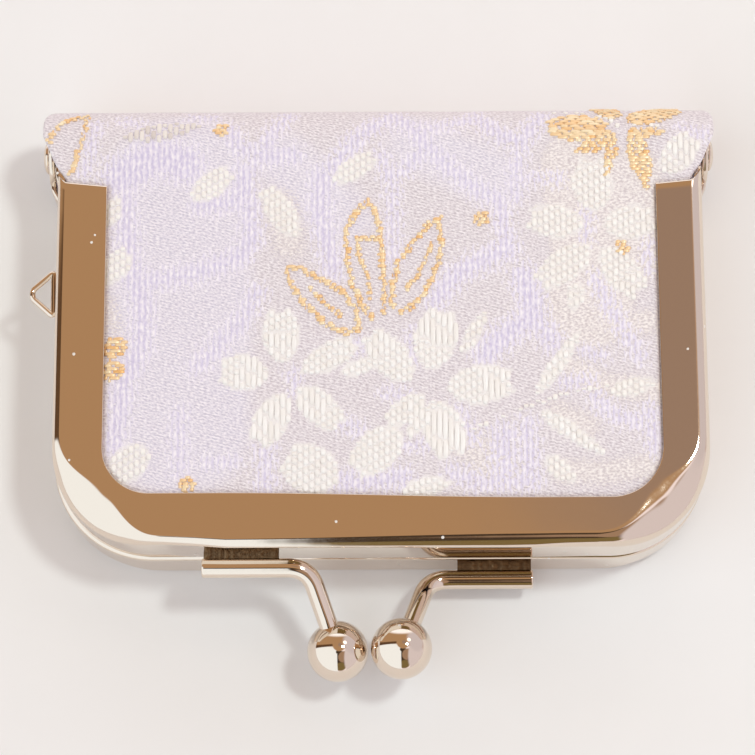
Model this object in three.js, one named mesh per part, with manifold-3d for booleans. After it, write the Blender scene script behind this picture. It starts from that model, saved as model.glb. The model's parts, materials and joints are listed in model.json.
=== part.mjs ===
// Clasp purse lying on its back: two hinged metal frame halves, a ball clasp and one wrap of brocade.
// Millimetres. +Z rises through the front window, +Y runs to the hinge and the clasp is at -Y.
// Each half is drawn about the hinge axis, with the parting plane at its z = 0 and its rim facing +Z.

import * as THREE from 'three';
import { mergeVertices } from 'three/addons/utils/BufferGeometryUtils.js';
import Module from 'manifold-3d';

const wasm = await Module();
wasm.setup();

// Frame halves, pressed from sheet
const FRAME_WIDTH = 64;
const THICKNESS = 13; // closed, from rim face to rim face
const FRAME_REACH = 41.2; // hinge axis to the outer wall on the clasp side
const SHEET = 0.7;
const EDGE_ROUND = 1.1;
const CORNER_RADIUS = 9.8;
const RIM_WIDTH = 5.3;
const RIM_END_INNER = 4.9; // the rim stops this far before the hinge axis at the window
const RIM_END_OUTER = 2.4; // and this far before it at the wall
const RIM_END_SWEEP = 1.1; // wall to the point that the curved rim end bends towards
const PARTING_GAP = 0.3;

// Hinge ears and rivets
const EAR_RADIUS = 2.8;
const EAR_ROOT = 9; // ear sheet overlaps the wall from here to the hinge axis
const EAR_STEP = 1.05; // the back ears are set outwards by this
const EAR_STEP_START = 7.6;
const EAR_STEP_END = 4.8;
const EAR_CLEARANCE = 0.4;
const EAR_HOLLOW_Y = -1.9; // the hollow curve under the shoulder bends towards this point
const EAR_HOLLOW_Z = 3.2;
const EAR_LANDING = 0.6 * Math.PI; // and meets the rivet disc at this angle
const RIVET_RADIUS = 0.8;
const RIVET_PLAY = 0.1;
const RIVET_DOME_RADIUS = 1.6;
const RIVET_DOME = 0.55;
const RIVET_TAIL_RADIUS = 1.4;
const RIVET_TAIL = 0.4;

// Ball clasp, one bent arm with a ball on each half
const CLASP_X = -1.1; // the clasp sits a little left of the middle
const ARM_RADIUS = 0.9;
const ARM_OUT = 1.55; // wall to arm centre line
const ARM_RISE = 3.4; // parting plane to arm centre line
const ARM_START = 16.1; // clasp middle to the cut end of the arm
const ARM_CORNER = 5.85; // clasp middle to the bend
const BEND_REACH = 2.8; // length that the bend takes from each straight stretch
const FOOT_HEIGHT = 1.3;
const FOOT_LENGTH = 6.6;
const BALL_RADIUS = 2.97;
const BALL_SPACING = 6.16;
const BALL_OUT = 8.95; // wall to ball centre
const BALL_CROSS = 0.75; // each ball lies past the parting plane, on the other half's side

// Strap loop of bent wire on the left wall of the front half
const WIRE_RADIUS = 0.3;
const LOOP_Y = -15;
const LOOP_RISE = 2.6;
const LOOP_BASE = 3.9;
const LOOP_TIP = 0.7;
const LOOP_OUT = 2.25; // wall to the wire's centre line at the tip

// Brocade
const CLOTH = 1.1;
const CLOTH_INSET = 1.4; // outer wall to the tucked edge
const FIELD_INSET = 0.3; // rim edge to the raised field in the window
const FIELD_DROP = 0.35; // rim face to the raised field
const SPINE_REACH = 4.2; // hinge axis to the far face of the roll
const SPINE_HALF_WIDTH = 33.25;
const SPINE_WAIST = 31.2; // half width where the roll leaves the rim
const SPINE_FLARE = 1.2; // the full width is reached this far past the hinge axis
const SPINE_DROP = 0.4; // rim face to the roll's front and back faces
const SPINE_ROUND = 4.4;
const SPINE_CORNER = 1.6;
const SPINE_END = 30.4; // outer face of the folded-in ends

const SEAT_GAP = 0.15;
const CUT_GAP = 0.3;
const OVERRUN = 12; // cutting shapes run past the piece by this

const HALF = THICKNESS / 2;
const HALF_WIDTH = FRAME_WIDTH / 2;
const BEVEL_STEPS = 4;
const ARC_STEPS = 9;
const ROUND_SIDES = 14;
const ARM_STEPS = 16;
const WIRE_SIDES = 8;
const WIRE_CAP_STEPS = 2;
const WELD = 1e-4; // corners closer than this are one vertex

// Shape XY becomes world YZ, and the extrusion runs along world X.
const SIDEWAYS = new THREE.Matrix4().makeBasis(
  new THREE.Vector3(0, 1, 0),
  new THREE.Vector3(0, 0, 1),
  new THREE.Vector3(1, 0, 0),
);

const nickelPlate = new THREE.MeshStandardMaterial({ color: 0xc9c2b8, roughness: 0.16, metalness: 1 });
const brocade = new THREE.MeshStandardMaterial({ color: 0xd6cfe6, roughness: 0.8, metalness: 0 });

// Closed geometry to a solid for joining and cutting
function toSolid(geometry) {
  geometry.deleteAttribute('normal');
  geometry.deleteAttribute('uv');
  const merged = mergeVertices(geometry, WELD);
  const corners = merged.index.array;
  const triangles = [];
  for (let i = 0; i < corners.length; i += 3) {
    const [a, b, c] = corners.slice(i, i + 3);
    if (a !== b && b !== c && c !== a) triangles.push(a, b, c);
  }
  return new wasm.Manifold(new wasm.Mesh({
    numProp: 3,
    vertProperties: new Float32Array(merged.attributes.position.array),
    triVerts: new Uint32Array(triangles),
  }));
}

function toMesh(name, solid, material) {
  const { vertProperties, triVerts } = solid.getMesh();
  const geometry = new THREE.BufferGeometry();
  geometry.setAttribute('position', new THREE.BufferAttribute(vertProperties, 3));
  geometry.setIndex(new THREE.BufferAttribute(triVerts, 1));
  geometry.computeVertexNormals();
  const mesh = new THREE.Mesh(geometry, material);
  mesh.name = name;
  return mesh;
}

// Straight extrusion of a plan shape between two heights
function upright(shape, bottom, top) {
  const settings = { depth: top - bottom, bevelEnabled: false, curveSegments: ARC_STEPS };
  return toSolid(new THREE.ExtrudeGeometry(shape, settings).translate(0, 0, bottom));
}

// Straight extrusion of a side-view shape between two x places
function sideways(shape, left, right) {
  const settings = { depth: right - left, bevelEnabled: false, curveSegments: ARC_STEPS };
  const geometry = new THREE.ExtrudeGeometry(shape, settings);
  return toSolid(geometry.applyMatrix4(SIDEWAYS).translate(left, 0, 0));
}

function box(low, high) {
  const size = new THREE.Vector3().subVectors(high, low);
  const middle = new THREE.Vector3().addVectors(low, high).multiplyScalar(0.5);
  return toSolid(new THREE.BoxGeometry(...size.toArray()).translate(...middle.toArray()));
}

// Plan outline of a half, moved inwards from the outer wall and run on past the hinge
function frameOutline(inset) {
  const side = HALF_WIDTH - inset;
  const end = -FRAME_REACH + inset;
  const radius = CORNER_RADIUS - inset;
  const shape = new THREE.Shape();
  shape.moveTo(side, OVERRUN);
  shape.lineTo(-side, OVERRUN);
  shape.lineTo(-side, end + radius);
  shape.absarc(-side + radius, end + radius, radius, Math.PI, 1.5 * Math.PI, false);
  shape.lineTo(side - radius, end);
  shape.absarc(side - radius, end + radius, radius, -0.5 * Math.PI, 0, false);
  shape.closePath();
  return shape;
}

// Block with that outline whose top edge is rounded, as a press tool leaves it
function pressedBlock(inset, top, edge) {
  const settings = {
    depth: top - edge,
    bevelThickness: edge,
    bevelSize: edge,
    bevelOffset: -edge,
    bevelSegments: BEVEL_STEPS,
    curveSegments: ARC_STEPS,
  };
  return toSolid(new THREE.ExtrudeGeometry(frameOutline(inset), settings));
}

// Everything on the hinge side of the curved rim ends
function hingeSide(offset) {
  const inner = -RIM_END_INNER + offset;
  const outer = -RIM_END_OUTER + offset;
  const window = HALF_WIDTH - RIM_WIDTH;
  const past = HALF_WIDTH + OVERRUN;
  const shape = new THREE.Shape();
  shape.moveTo(past, OVERRUN);
  shape.lineTo(-past, OVERRUN);
  shape.lineTo(-past, outer);
  shape.lineTo(-HALF_WIDTH, outer);
  shape.quadraticCurveTo(-HALF_WIDTH + RIM_END_SWEEP, inner, -window, inner);
  shape.lineTo(window, inner);
  shape.quadraticCurveTo(HALF_WIDTH - RIM_END_SWEEP, inner, HALF_WIDTH, outer);
  shape.lineTo(past, outer);
  shape.closePath();
  return upright(shape, -THICKNESS, THICKNESS);
}

// Side view of an ear: from under the rounded edge it falls in a hollow curve to the rivet disc
function earOutline() {
  const shoulder = HALF - EDGE_ROUND;
  const parting = PARTING_GAP / 2;
  const closing = Math.asin(parting / EAR_RADIUS);
  const shape = new THREE.Shape();
  shape.moveTo(-EAR_ROOT, parting);
  shape.lineTo(-EAR_RADIUS * Math.cos(closing), parting);
  shape.absarc(0, 0, EAR_RADIUS, Math.PI - closing, 2 * Math.PI + EAR_LANDING, false);
  shape.quadraticCurveTo(EAR_HOLLOW_Y, EAR_HOLLOW_Z, -RIM_END_OUTER, shoulder);
  shape.lineTo(-EAR_ROOT, shoulder);
  shape.closePath();
  return shape;
}

// Ear sheet on one side, set outwards by step near the rivet
function ear(side, step) {
  const inner = HALF_WIDTH - SHEET;
  const plan = new THREE.Shape();
  plan.moveTo(side * inner, -EAR_ROOT);
  plan.lineTo(side * HALF_WIDTH, -EAR_ROOT);
  plan.lineTo(side * HALF_WIDTH, -EAR_STEP_START);
  plan.lineTo(side * (HALF_WIDTH + step), -EAR_STEP_END);
  plan.lineTo(side * (HALF_WIDTH + step), OVERRUN);
  plan.lineTo(side * (inner + step), OVERRUN);
  plan.lineTo(side * (inner + step), -EAR_STEP_END);
  plan.lineTo(side * inner, -EAR_STEP_START);
  plan.closePath();
  const past = HALF_WIDTH + OVERRUN;
  return upright(plan, -HALF, HALF).intersect(sideways(earOutline(), -past, past));
}

function rivetHoles() {
  const radius = RIVET_RADIUS + RIVET_PLAY;
  const length = FRAME_WIDTH + OVERRUN;
  const drill = new THREE.CylinderGeometry(radius, radius, length, ROUND_SIDES);
  return toSolid(drill.rotateZ(Math.PI / 2));
}

// Room in the wall for the other half's rivet disc
function earRoom(side) {
  const room = EAR_RADIUS + EAR_CLEARANCE;
  const near = side * (HALF_WIDTH + SEAT_GAP);
  const far = side * (HALF_WIDTH - 2 * SHEET);
  const low = new THREE.Vector3(Math.min(near, far), -room, -HALF);
  const high = new THREE.Vector3(Math.max(near, far), OVERRUN, room);
  return box(low, high);
}

// One pressed half with its rim, wall and two ears
function frameHalf(earStep) {
  const past = HALF_WIDTH + OVERRUN;
  const belowParting = box(
    new THREE.Vector3(-past, -past, -THICKNESS),
    new THREE.Vector3(past, past, PARTING_GAP / 2),
  );
  let half = pressedBlock(0, HALF, EDGE_ROUND)
    .subtract(pressedBlock(SHEET, HALF - SHEET, EDGE_ROUND - SHEET))
    .subtract(upright(frameOutline(RIM_WIDTH), -THICKNESS, THICKNESS))
    .subtract(belowParting)
    .subtract(hingeSide(0));
  for (const side of [-1, 1]) {
    if (earStep > 0) half = half.subtract(earRoom(side));
    half = half.add(ear(side, earStep));
  }
  return half.subtract(rivetHoles());
}

// Round bar that runs along the wall, bends away and carries the ball, with a foot against the wall
function clasp(middle) {
  const armY = -FRAME_REACH - ARM_OUT;
  const start = new THREE.Vector3(middle - ARM_START, armY, ARM_RISE);
  const corner = new THREE.Vector3(middle - ARM_CORNER, armY, ARM_RISE);
  const ball = new THREE.Vector3(middle - BALL_SPACING / 2, -FRAME_REACH - BALL_OUT, -BALL_CROSS);
  const along = new THREE.Vector3().subVectors(corner, start).normalize();
  const outwards = new THREE.Vector3().subVectors(ball, corner).normalize();
  const bendIn = corner.clone().addScaledVector(along, -BEND_REACH);
  const bendOut = corner.clone().addScaledVector(outwards, BEND_REACH);
  const route = new THREE.CurvePath();
  route.add(new THREE.LineCurve3(start, bendIn));
  route.add(new THREE.QuadraticBezierCurve3(bendIn, corner, bendOut));
  route.add(new THREE.LineCurve3(bendOut, ball));
  const section = new THREE.Shape().absarc(0, 0, ARM_RADIUS, 0, 2 * Math.PI, false);
  const bar = toSolid(new THREE.ExtrudeGeometry(section, {
    extrudePath: route,
    steps: ARM_STEPS,
    curveSegments: ROUND_SIDES / 2,
  }));
  const foot = box(
    new THREE.Vector3(start.x, armY, ARM_RISE - FOOT_HEIGHT / 2),
    new THREE.Vector3(start.x + FOOT_LENGTH, -FRAME_REACH - SEAT_GAP, ARM_RISE + FOOT_HEIGHT / 2),
  );
  const sphere = new THREE.SphereGeometry(BALL_RADIUS, 2 * ROUND_SIDES, ROUND_SIDES);
  return bar.add(foot).add(toSolid(sphere.translate(...ball.toArray())));
}

// Four straight stretches of wire: one along the wall, two slanting out and a short tip
function strapLoop() {
  const base = -HALF_WIDTH - SEAT_GAP - WIRE_RADIUS;
  const tip = -HALF_WIDTH - LOOP_OUT;
  const knees = [
    new THREE.Vector3(base, LOOP_Y + LOOP_BASE / 2, LOOP_RISE),
    new THREE.Vector3(tip, LOOP_Y + LOOP_TIP / 2, LOOP_RISE),
    new THREE.Vector3(tip, LOOP_Y - LOOP_TIP / 2, LOOP_RISE),
    new THREE.Vector3(base, LOOP_Y - LOOP_BASE / 2, LOOP_RISE),
  ];
  const stretches = knees.map((knee, i) => {
    const next = knees[(i + 1) % knees.length];
    const run = new THREE.Vector3().subVectors(next, knee);
    const turn = new THREE.Quaternion().setFromUnitVectors(
      new THREE.Vector3(0, 1, 0),
      run.clone().normalize(),
    );
    const middle = knee.clone().addScaledVector(run, 0.5);
    const wire = new THREE.CapsuleGeometry(WIRE_RADIUS, run.length(), WIRE_CAP_STEPS, WIRE_SIDES);
    return toSolid(wire.applyQuaternion(turn).translate(...middle.toArray()));
  });
  return stretches.reduce((loop, stretch) => loop.add(stretch));
}

// Rivet through both ears, with a low dome outside and a flat tail inside
function rivet(side) {
  const outside = HALF_WIDTH + EAR_STEP + SEAT_GAP;
  const inside = HALF_WIDTH - SHEET - SEAT_GAP;
  const profile = [
    new THREE.Vector2(0, inside - RIVET_TAIL),
    new THREE.Vector2(RIVET_TAIL_RADIUS, inside - RIVET_TAIL),
    new THREE.Vector2(RIVET_TAIL_RADIUS, inside),
    new THREE.Vector2(RIVET_RADIUS, inside),
    new THREE.Vector2(RIVET_RADIUS, outside),
  ];
  for (let i = 0; i <= BEVEL_STEPS; i += 1) {
    const angle = (i / BEVEL_STEPS) * (Math.PI / 2);
    const radius = i < BEVEL_STEPS ? RIVET_DOME_RADIUS * Math.cos(angle) : 0;
    profile.push(new THREE.Vector2(radius, outside + RIVET_DOME * Math.sin(angle)));
  }
  const turned = new THREE.LatheGeometry(profile, ROUND_SIDES);
  return toSolid(turned.rotateZ(-side * Math.PI / 2));
}

// Cloth of one window: a sheet tucked under the rim, raised where it shows
function clothPanel() {
  const tucked = HALF - SHEET - SEAT_GAP;
  const sheet = upright(frameOutline(CLOTH_INSET), tucked - CLOTH, tucked);
  const field = upright(frameOutline(RIM_WIDTH + FIELD_INSET), tucked - CLOTH, HALF - FIELD_DROP);
  return sheet.add(field).subtract(hingeSide(0));
}

// Side view of the roll over the hinge side, moved inwards for its hollow
function spineSection(inset) {
  const face = HALF - SPINE_DROP - inset;
  const far = SPINE_REACH - inset;
  const radius = SPINE_ROUND - inset;
  const shape = new THREE.Shape();
  shape.moveTo(-OVERRUN, -face);
  shape.lineTo(far - radius, -face);
  shape.absarc(far - radius, -face + radius, radius, -0.5 * Math.PI, 0, false);
  shape.absarc(far - radius, face - radius, radius, 0, 0.5 * Math.PI, false);
  shape.lineTo(-OVERRUN, face);
  shape.closePath();
  return shape;
}

// Plan of the roll: it widens from the rim to its full width, and its two far corners are rounded
function spinePlan() {
  const radius = SPINE_CORNER;
  const shape = new THREE.Shape();
  shape.moveTo(-SPINE_HALF_WIDTH, SPINE_FLARE);
  shape.lineTo(-SPINE_WAIST, -RIM_END_OUTER);
  shape.lineTo(-SPINE_WAIST, -OVERRUN);
  shape.lineTo(SPINE_WAIST, -OVERRUN);
  shape.lineTo(SPINE_WAIST, -RIM_END_OUTER);
  shape.lineTo(SPINE_HALF_WIDTH, SPINE_FLARE);
  shape.absarc(SPINE_HALF_WIDTH - radius, SPINE_REACH - radius, radius, 0, 0.5 * Math.PI, false);
  shape.absarc(-SPINE_HALF_WIDTH + radius, SPINE_REACH - radius, radius, 0.5 * Math.PI, Math.PI, false);
  shape.closePath();
  return shape;
}

// Strip over one wall where the roll is held back to clear the shoulder of the ear
function shoulderRoom(side) {
  const near = side * (HALF_WIDTH - SHEET - CUT_GAP);
  const far = side * (HALF_WIDTH + OVERRUN);
  const low = new THREE.Vector3(Math.min(near, far), -OVERRUN, -THICKNESS);
  const high = new THREE.Vector3(Math.max(near, far), -RIM_END_OUTER + CUT_GAP, THICKNESS);
  return box(low, high);
}

// Hollow roll of cloth: it hoods the ears outside its two folded-in ends
function spineCloth() {
  const past = HALF_WIDTH + OVERRUN;
  const hollow = spineSection(CLOTH);
  return sideways(spineSection(0), -past, past)
    .intersect(upright(spinePlan(), -THICKNESS, THICKNESS))
    .intersect(hingeSide(CUT_GAP))
    .subtract(shoulderRoom(-1))
    .subtract(shoulderRoom(1))
    .subtract(sideways(hollow, -SPINE_END + CLOTH, SPINE_END - CLOTH))
    .subtract(sideways(hollow, -past, -SPINE_END))
    .subtract(sideways(hollow, SPINE_END, past));
}

const frontHalf = new THREE.Group();
frontHalf.add(
  toMesh('front_frame', frameHalf(0), nickelPlate),
  toMesh('front_clasp', clasp(CLASP_X), nickelPlate),
  toMesh('strap_loop', strapLoop(), nickelPlate),
  toMesh('front_cloth', clothPanel(), brocade),
);

const backHalf = new THREE.Group();
backHalf.rotation.y = Math.PI;
backHalf.add(
  toMesh('back_frame', frameHalf(EAR_STEP), nickelPlate),
  toMesh('back_clasp', clasp(-CLASP_X), nickelPlate),
  toMesh('back_cloth', clothPanel(), brocade),
);

const hinge = new THREE.Group();
hinge.add(
  toMesh('left_rivet', rivet(-1), nickelPlate),
  toMesh('right_rivet', rivet(1), nickelPlate),
  toMesh('spine_cloth', spineCloth(), brocade),
);

// The origin is under the middle of the whole purse, on the surface it lies on.
const leftmost = -HALF_WIDTH - LOOP_OUT - WIRE_RADIUS;
const rightmost = HALF_WIDTH + EAR_STEP + SEAT_GAP + RIVET_DOME;
const nearest = -FRAME_REACH - BALL_OUT - BALL_RADIUS;
const purse = new THREE.Group();
purse.position.set(-(leftmost + rightmost) / 2, -(nearest + SPINE_REACH) / 2, HALF);
purse.add(frontHalf, backHalf, hinge);

const group = new THREE.Group();
group.add(purse);

export default group;
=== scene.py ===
import json
import math
import bmesh
import bpy
import numpy as np
from mathutils import Matrix, Vector


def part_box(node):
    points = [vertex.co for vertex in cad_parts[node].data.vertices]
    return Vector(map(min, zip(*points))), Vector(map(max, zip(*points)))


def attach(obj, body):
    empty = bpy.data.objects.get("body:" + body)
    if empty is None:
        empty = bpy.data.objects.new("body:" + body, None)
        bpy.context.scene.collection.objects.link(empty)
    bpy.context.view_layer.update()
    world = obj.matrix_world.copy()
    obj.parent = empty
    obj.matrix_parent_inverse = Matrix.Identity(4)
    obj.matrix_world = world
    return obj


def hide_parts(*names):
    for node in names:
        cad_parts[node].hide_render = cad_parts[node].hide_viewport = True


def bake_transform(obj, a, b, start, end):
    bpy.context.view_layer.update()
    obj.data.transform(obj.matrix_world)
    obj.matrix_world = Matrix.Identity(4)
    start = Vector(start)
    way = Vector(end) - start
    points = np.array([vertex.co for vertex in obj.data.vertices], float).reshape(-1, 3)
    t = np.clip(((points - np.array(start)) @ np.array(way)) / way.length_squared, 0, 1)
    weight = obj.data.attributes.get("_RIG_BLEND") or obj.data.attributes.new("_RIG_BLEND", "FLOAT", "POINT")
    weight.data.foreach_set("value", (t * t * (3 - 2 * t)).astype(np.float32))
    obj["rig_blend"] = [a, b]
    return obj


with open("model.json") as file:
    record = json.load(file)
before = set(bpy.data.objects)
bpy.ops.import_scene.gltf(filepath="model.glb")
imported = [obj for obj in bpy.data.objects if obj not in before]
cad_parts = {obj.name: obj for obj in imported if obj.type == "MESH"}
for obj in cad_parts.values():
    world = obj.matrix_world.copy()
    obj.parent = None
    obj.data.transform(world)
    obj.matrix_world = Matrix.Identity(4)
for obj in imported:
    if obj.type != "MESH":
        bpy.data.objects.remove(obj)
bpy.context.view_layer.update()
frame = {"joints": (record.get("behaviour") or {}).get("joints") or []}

mm = 0.001
hinge = np.array(frame["joints"][0]["pos_m"]) / mm  # hinge axis in millimetres
creaseAngle = 35  # degrees, sharper edges stay crisp


def nodeBox(name):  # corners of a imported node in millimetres
    low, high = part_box(name)
    return np.array(low) / mm, np.array(high) / mm


def linear(hexCode):  # sRGB hex to linear colour
    values = [int(hexCode[i:i + 2], 16) / 255 for i in (1, 3, 5)]
    return [v / 12.92 if v < 0.04045 else ((v + 0.055) / 1.055) ** 2.4 for v in values] + [1]


def setInputs(tree, node, inputs):  # links the sockets among them and sets the plain values
    for name, value in inputs.items():
        if isinstance(value, bpy.types.NodeSocket):
            tree.links.new(value, node.inputs[name])
        else:
            node.inputs[name].default_value = value


def addNode(tree, kind, inputs=None, **settings):  # one node with its settings and links
    made = tree.nodes.new("ShaderNode" + kind)
    for name, value in settings.items():
        setattr(made, name, value)
    setInputs(tree, made, inputs or {})
    return made


def newMaterial(name):
    material = bpy.data.materials.new(name)
    material.use_nodes = True
    tree = material.node_tree
    return material, tree, tree.nodes["Principled BSDF"]


def smoothStep(low, high, value):
    t = np.clip((value - low) / (high - low), 0, 1)
    return t * t * (3 - 2 * t)


def gridFaces(rows, cols, closed=False, start=0):  # quads of a grid, its columns joined round if closed
    i, j = np.meshgrid(np.arange(rows - 1), np.arange(cols if closed else cols - 1), indexing="ij")
    k = (j + 1) % cols
    quads = np.stack([i * cols + j, i * cols + k, (i + 1) * cols + k, (i + 1) * cols + j], -1)
    return (start + quads.reshape(-1, 4)).tolist()


def makePiece(name, points, faces, materials, sharp=creaseAngle, slots=None):  # points in millimetres
    mesh = bpy.data.meshes.new(name)
    mesh.from_pydata((np.asarray(points, float).reshape(-1, 3) * mm).tolist(), [], faces)
    for material in materials:
        mesh.materials.append(material)
    if slots is not None:
        mesh.polygons.foreach_set("material_index", slots)
    work = bmesh.new()
    work.from_mesh(mesh)
    bmesh.ops.recalc_face_normals(work, faces=work.faces)
    work.to_mesh(mesh)
    work.free()
    mesh.shade_smooth()
    mesh.set_sharp_from_angle(angle=math.radians(sharp))
    piece = bpy.data.objects.new(name, mesh)
    bpy.context.scene.collection.objects.link(piece)
    return piece


def fuse(base, *others):  # joins overlapping closed meshes into one skin
    for other in others:
        cut = base.modifiers.new("join", "BOOLEAN")
        cut.operation, cut.solver, cut.object = "UNION", "EXACT", other
        cut.material_mode = "TRANSFER"
        bpy.context.view_layer.objects.active = base
        bpy.ops.object.modifier_apply(modifier=cut.name)
        bpy.data.objects.remove(other)
    base.data.shade_smooth()
    base.data.set_sharp_from_angle(angle=math.radians(creaseAngle))
    return base


def tube(path, radius, sides, closed=False, rounding=0.0):  # round bar along a path
    path = np.asarray(path, float)
    count = len(path)
    if closed:
        ahead = np.roll(path, -1, 0) - np.roll(path, 1, 0)
    else:
        ahead = np.gradient(path, axis=0)
    ahead /= np.linalg.norm(ahead, axis=1)[:, None]
    side = np.cross(ahead[0], [0.3, 0.2, 1.0])  # any way across, then carried along the path
    rings = []
    for i in range(count):
        side = side - ahead[i] * (side @ ahead[i])
        side /= np.linalg.norm(side)
        other = np.cross(ahead[i], side)
        a = np.linspace(0, 2 * np.pi, sides, endpoint=False)[:, None]
        r = radius
        if rounding and not closed:  # eased cut ends
            near = min(np.linalg.norm(path[i] - path[0]), np.linalg.norm(path[i] - path[-1]))
            if near < rounding:
                r = radius - rounding + math.sqrt(rounding ** 2 - (rounding - near) ** 2)
        rings.append(path[i] + r * (np.cos(a) * side + np.sin(a) * other))
    points = np.concatenate(rings)
    faces = gridFaces(count + 1 if closed else count, sides, True)
    if closed:
        faces = [[v % (count * sides) for v in f] for f in faces]
    else:
        faces += [list(range(sides)), list(range((count - 1) * sides, count * sides))]
    return points, faces


def turned(profile, sides):  # profile of (radius, height) rows turned about z, its ends on the axis
    rows = len(profile)
    a = np.linspace(0, 2 * np.pi, sides, endpoint=False)
    r, z = np.array(profile, float).T
    height = np.repeat(z, sides).reshape(rows, sides)
    points = np.stack([np.outer(r, np.cos(a)), np.outer(r, np.sin(a)), height], -1)
    faces = gridFaces(rows, sides, True)
    faces += [list(range(sides)), list(range((rows - 1) * sides, rows * sides))]
    return points.reshape(-1, 3), faces


print("frame loaded, hinge at", hinge.round(2), "mm")

# Camera: the photograph's view, 14 degrees off straight down, from the clasp side
view = dict(tilt=14.26, roll=-0.275, distance=282.5, focalPixels=2921.3, imagePixels=755,
            lookAt=(0.2, -0.16, 13.0))


def makeCamera():
    v = view
    data = bpy.data.cameras.new("camera")
    data.sensor_width = 36
    data.lens = data.sensor_width * v["focalPixels"] / v["imagePixels"]
    data.clip_start = 0.01
    camera = bpy.data.objects.new("camera", data)
    bpy.context.scene.collection.objects.link(camera)
    tilt = math.radians(v["tilt"])
    away = Vector((0, -math.sin(tilt), math.cos(tilt)))
    turn = Matrix.Rotation(tilt, 4, "X") @ Matrix.Rotation(math.radians(v["roll"]), 4, "Z")
    camera.matrix_world = Matrix.Translation((Vector(v["lookAt"]) + v["distance"] * away) * mm) @ turn
    bpy.context.scene.camera = camera


makeCamera()
print("camera set")

# Floor and light: pale table, one soft lamp from the upper right and a pale room with a brown ceiling
stage = dict(
    floorColours=("#F5F3F2", "#F8F6F5"), floorSize=3000, floorGrain=2.5, floorRough=0.9, floorShine=0.15,
    lampFrom=(0.354, 0.11, 0.929), lampAway=600, lampWide=76, lampPower=0.90, lampColour="#F4FFFD",
    roomColour="#EFE6EB", roomStrength=1.3,
)
# What the polished metal mirrors, later patches over earlier ones: direction, angle inside which the patch
# is full, angle past which there is none of it, colour, strength
roomPatches = [
    ((-0.1, 0.0, 0.995), 12, 20, "#AD9076", 1.0),  # ceiling overhead
    ((0.0, -0.62, 0.78), 32, 36, "#4D3E30", 1.0),  # dark front of the room
    ((0.4, -0.48, 0.78), 19.5, 23, "#AD8F76", 1.0),  # brown front of the room
    ((0.17, -0.93, 0.33), 15, 20, "#86744B", 1.0),  # olive cloth, low in front
    ((0.52, -0.68, 0.52), 6, 13, "#765955", 1.0),  # dark cloth beside it
    ((0.98, -0.15, 0.1), 52, 60, "#EAE1E6", 1.0),  # pale wall on the right
    ((-0.998, 0.03, -0.05), 91.2, 92.8, "#F1F9FF", 1.27),  # window side, left
    ((0.01, -0.2, 0.98), 5.5, 8, "#4D3E30", 1.0),  # dark spot overhead
    ((0.1, 0.995, 0.0), 79.5, 87.0, "#BC9771", 1.0),  # brown ceiling
    ((-0.05, 0.999, 0.0), 77.5, 80.0, "#654B35", 1.0),  # beam across it
    ((-0.05, 0.999, 0.0), 69.0, 72.0, "#BC9771", 1.0),  # ceiling past the beam
    ((0.1, 0.27, 0.96), 22, 26, "#BC9771", 1.0),  # ceiling in front of the beam
    ((0.8, 0.35, 0.48), 25, 40, "#DFD7DD", 1.0),  # plaster on the right
    ((0.16, 0.27, 0.95), 4, 9, "#A68D7C", 1.0),  # lamp's shade
    ((0.0, 1.0, 0.05), 32, 43, "#F9FAFF", 1.4),  # pale wall behind
    ((0.45, 0.42, 0.79), 4.5, 7.5, "#FFFAF3", 2.4),  # second lamp, dim
]


def makeStage():
    s = stage
    scene = bpy.context.scene
    scene.view_settings.view_transform = "Standard"
    half = s["floorSize"] / 2
    material, tree, shader = newMaterial("pale paper, matt pressed")  # even and matt, with hardly a grain
    grain = addNode(tree, "TexNoise", {"Scale": 1 / (s["floorGrain"] * mm), "Detail": 3.0})
    dark, light = s["floorColours"]
    tint = addNode(tree, "Mix", {0: grain.outputs["Fac"], 6: linear(dark), 7: linear(light)},
                   data_type="RGBA")
    setInputs(tree, shader, {"Base Color": tint.outputs[2], "Roughness": s["floorRough"],
                             "Specular IOR Level": s["floorShine"]})
    corners = [(-half, -half, 0), (half, -half, 0), (half, half, 0), (-half, half, 0)]
    floor = makePiece("floor", corners, [[0, 1, 2, 3]], [material])

    lampData = bpy.data.lights.new("lamp", "AREA")
    lampData.shape = "DISK"
    lampData.size = s["lampWide"] * mm
    lampData.energy = s["lampPower"]
    lampData.color = linear(s["lampColour"])[:3]
    lamp = bpy.data.objects.new("lamp", lampData)
    towards = Vector(s["lampFrom"]).normalized()
    lamp.location = towards * s["lampAway"] * mm
    lamp.rotation_euler = towards.to_track_quat("Z", "Y").to_euler()
    scene.collection.objects.link(lamp)

    world = bpy.data.worlds.new("room")
    scene.world = world
    world.use_nodes = True
    tree = world.node_tree
    back = tree.nodes["Background"]
    place = addNode(tree, "TexCoord").outputs["Generated"]
    colour = None
    base = [c * s["roomStrength"] for c in linear(s["roomColour"])[:3]] + [1]
    for direction, full, none, patchColour, strength in roomPatches:
        towards = Vector(direction).normalized()
        share = addNode(tree, "VectorMath", {0: place, 1: towards}, operation="DOT_PRODUCT")
        fade = addNode(tree, "MapRange", {
            "Value": share.outputs["Value"], "From Min": math.cos(math.radians(none)),
            "From Max": math.cos(math.radians(full))}, interpolation_type="SMOOTHSTEP")
        glow = [c * strength for c in linear(patchColour)[:3]] + [1]
        colour = addNode(tree, "Mix", {0: fade.outputs["Result"], 6: colour or base, 7: glow},
                         data_type="RGBA").outputs[2]
    tree.links.new(colour, back.inputs["Color"])


makeStage()
print("floor and light set")


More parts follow.
